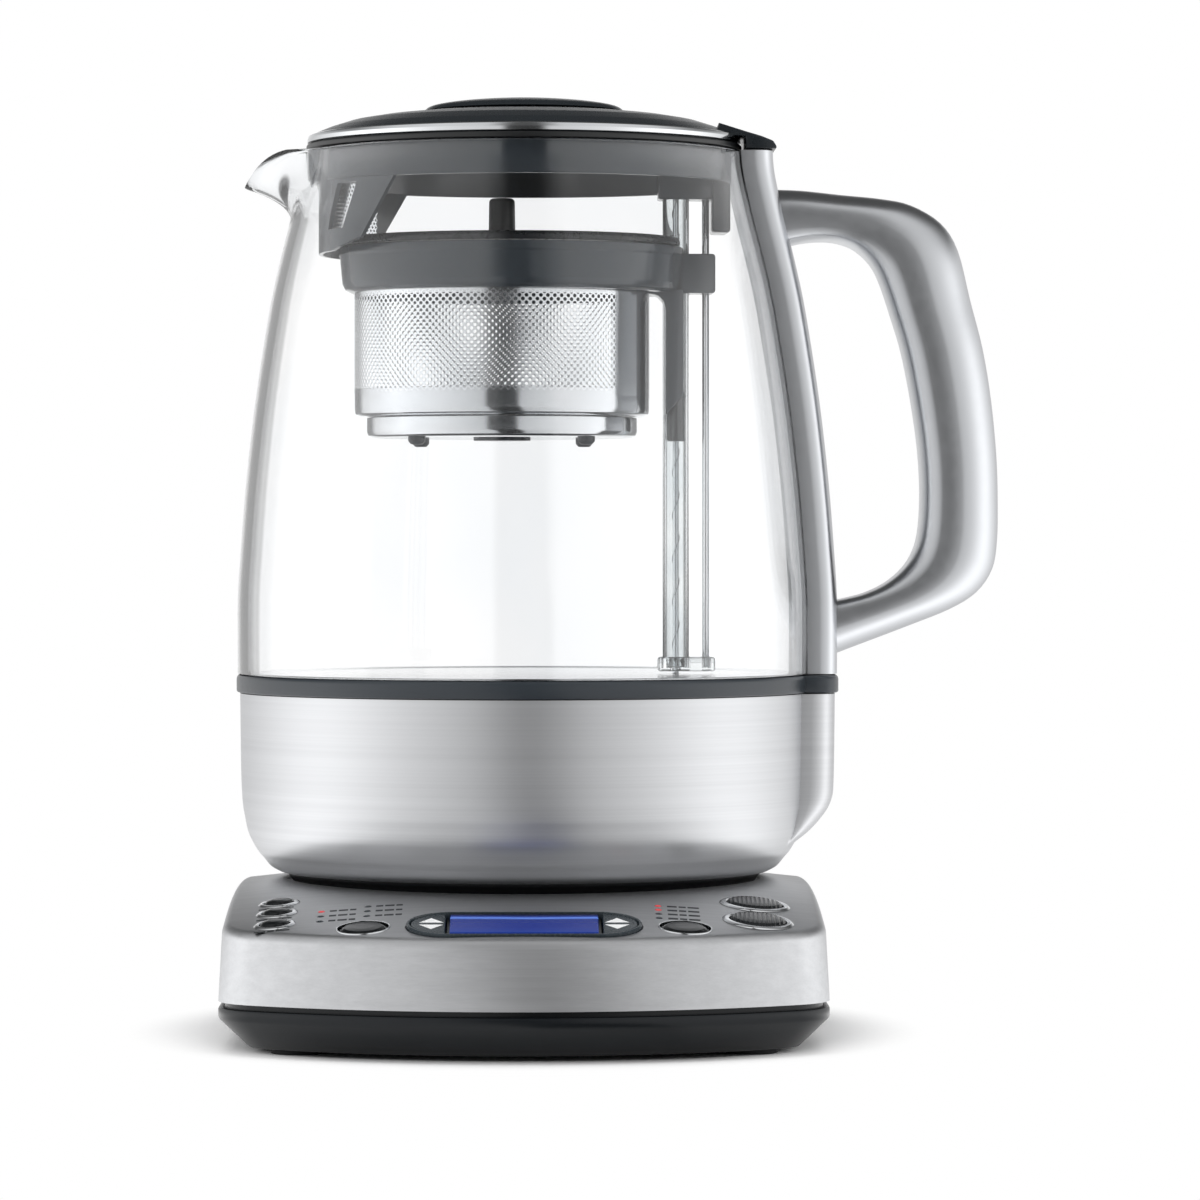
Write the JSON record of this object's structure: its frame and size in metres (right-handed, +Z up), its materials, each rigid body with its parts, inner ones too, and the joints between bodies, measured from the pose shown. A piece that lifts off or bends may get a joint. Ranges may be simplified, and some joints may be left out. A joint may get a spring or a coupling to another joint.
{
  "type": "automatic tea maker",
  "caption": "Glass jug with a brushed steel lower body, arched handle and lid with filter spout, a tea basket riding on a motor lift, and a cordless base with a key panel.",
  "frame": {"origin": "on the table, under the middle of the object's bounding box", "axes": "+Z up, +X towards the handle, -Y towards the key panel"},
  "size_m": [0.2144, 0.2126, 0.2599],
  "materials": {
    "brushed_steel": "horizontally brushed",
    "polished_steel": "polished sheet",
    "chrome": "bright plated",
    "satin_metal": "satin cast",
    "brass": "bare contact metal",
    "glass": "clear",
    "clear_plastic": "clear tube and light guides",
    "tray_plastic": "fine satin",
    "key_plastic": "smooth",
    "basket_plastic": "satin",
    "lid_plastic": "gloss",
    "black_plastic": "satin",
    "seal_plastic": "satin",
    "rubber": "soft",
    "board": "coated board",
    "display_blue": "backlit display window",
    "magnet": "dark, sealed"
  },
  "bodies": {
    "power_base": {"base_shell": "brushed_steel", "base_tray": "tray_plastic", "foot_front_left": "rubber", "foot_front_right": "rubber", "foot_back_left": "rubber", "foot_back_right": "rubber", "tray_screw_front_left": "polished_steel", "tray_screw_front_right": "polished_steel", "tray_screw_back_left": "polished_steel", "tray_screw_back_right": "polished_steel", "cord_gland": "rubber", "power_connector": "black_plastic", "contact_pin": "brass", "contact_ring": "brass", "display_carrier": "key_plastic", "display_lens": "display_blue", "auto_start_bezel": "chrome", "timer_bezel": "chrome", "clock_bezel": "chrome", "brew_bezel": "chrome", "hot_water_bezel": "chrome", "left_light_guide": "clear_plastic", "right_light_guide": "clear_plastic", "control_board": "board"},
    "jug": {"jug_glass": "glass", "seal_ring": "seal_plastic", "steel_skirt": "brushed_steel", "jug_foot": "black_plastic", "jug_socket": "black_plastic", "heater_plate": "polished_steel", "heating_element": "satin_metal", "lift_motor": "magnet", "tower_foot": "basket_plastic", "lift_tube": "clear_plastic", "guide_rod": "polished_steel", "handle": "satin_metal", "handle_spine": "satin_metal"},
    "jug_lid": {"lid_shell": "lid_plastic", "lid_trim": "polished_steel", "lid_gasket": "black_plastic", "lid_skirt": "basket_plastic", "spout_mesh": "polished_steel", "lid_knob": "black_plastic"},
    "basket": {"basket_collar": "basket_plastic", "basket_mesh": "polished_steel", "basket_pan": "polished_steel"},
    "basket_cover": {"basket_lid": "lid_plastic", "basket_lid_knob": "black_plastic"},
    "follower": {"magnet_follower": "magnet"},
    "screw": {"lift_screw": "polished_steel"},
    "auto_start_key": {"auto_start_button": "key_plastic"},
    "timer_key": {"timer_button": "key_plastic"},
    "clock_key": {"clock_button": "key_plastic"},
    "tea_type_key": {"tea_type_button": "key_plastic"},
    "tea_strength_key": {"tea_strength_button": "key_plastic"},
    "brew_key": {"brew_button": "key_plastic"},
    "hot_water_key": {"hot_water_button": "key_plastic"},
    "temperature_key": {"temperature_rocker": "key_plastic"},
    "time_key": {"time_rocker": "key_plastic"}
  },
  "joints": [
    {"name": "jug_lift_off", "type": "slide", "parent": "power_base", "child": "jug", "axis": [0, 0, 1], "range_m": [0, 0.08]},
    {"name": "lid_lift_off", "type": "slide", "parent": "jug", "child": "jug_lid", "axis": [0, 0, 1], "range_m": [0, 0.05]},
    {"name": "basket_travel", "type": "slide", "parent": "jug", "child": "basket", "axis": [0, 0, 1], "range_m": [-0.058, 0]},
    {"name": "basket_cover_lift_off", "type": "slide", "parent": "basket", "child": "basket_cover", "axis": [0, 0, 1], "range_m": [0, 0.008]},
    {"name": "follower_travel", "type": "slide", "parent": "jug", "child": "follower", "axis": [0, 0, 1], "range_m": [-0.058, 0]},
    {"name": "screw_turn", "type": "hinge", "parent": "jug", "child": "screw", "pos_m": [0.01675, 0.0147, 0.16], "axis": [0, 0, 1], "range_deg": [-1745, 5]},
    {"name": "auto_start_press", "type": "slide", "parent": "power_base", "child": "auto_start_key", "axis": [0.0933, 0.1127, -0.9892], "range_m": [0, 0.0012], "stiffness_N_per_m": 300, "springref_m": -0.0005},
    {"name": "timer_press", "type": "slide", "parent": "power_base", "child": "timer_key", "axis": [0.093, 0.1364, -0.9863], "range_m": [0, 0.0012], "stiffness_N_per_m": 300, "springref_m": -0.0005},
    {"name": "clock_press", "type": "slide", "parent": "power_base", "child": "clock_key", "axis": [0.0927, 0.16, -0.9828], "range_m": [0, 0.0012], "stiffness_N_per_m": 300, "springref_m": -0.0005},
    {"name": "tea_type_press", "type": "slide", "parent": "power_base", "child": "tea_type_key", "axis": [0.0593, 0.1792, -0.982], "range_m": [0, 0.0012], "stiffness_N_per_m": 300, "springref_m": -0.0005},
    {"name": "tea_strength_press", "type": "slide", "parent": "power_base", "child": "tea_strength_key", "axis": [-0.0593, 0.1792, -0.982], "range_m": [0, 0.0012], "stiffness_N_per_m": 300, "springref_m": -0.0005},
    {"name": "brew_press", "type": "slide", "parent": "power_base", "child": "brew_key", "axis": [-0.0876, 0.1205, -0.9888], "range_m": [0, 0.0012], "stiffness_N_per_m": 300, "springref_m": -0.0005},
    {"name": "hot_water_press", "type": "slide", "parent": "power_base", "child": "hot_water_key", "axis": [-0.0871, 0.1567, -0.9838], "range_m": [0, 0.0012], "stiffness_N_per_m": 300, "springref_m": -0.0005},
    {"name": "temperature_rock", "type": "hinge", "parent": "power_base", "child": "temperature_key", "pos_m": [-0.0511, -0.08886, 0.03414], "axis": [1, 0, 0], "range_deg": [-4, 4], "stiffness_Nm_per_rad": 0.02},
    {"name": "time_rock", "type": "hinge", "parent": "power_base", "child": "time_key", "pos_m": [-0.0006, -0.08886, 0.03414], "axis": [1, 0, 0], "range_deg": [-4, 4], "stiffness_Nm_per_rad": 0.02}
  ],
  "couplings": [
    {"joint": "follower_travel", "follows": "basket_travel", "ratio": 1},
    {"joint": "screw_turn", "follows": "basket_travel", "rad_per_m": 523.6}
  ]
}
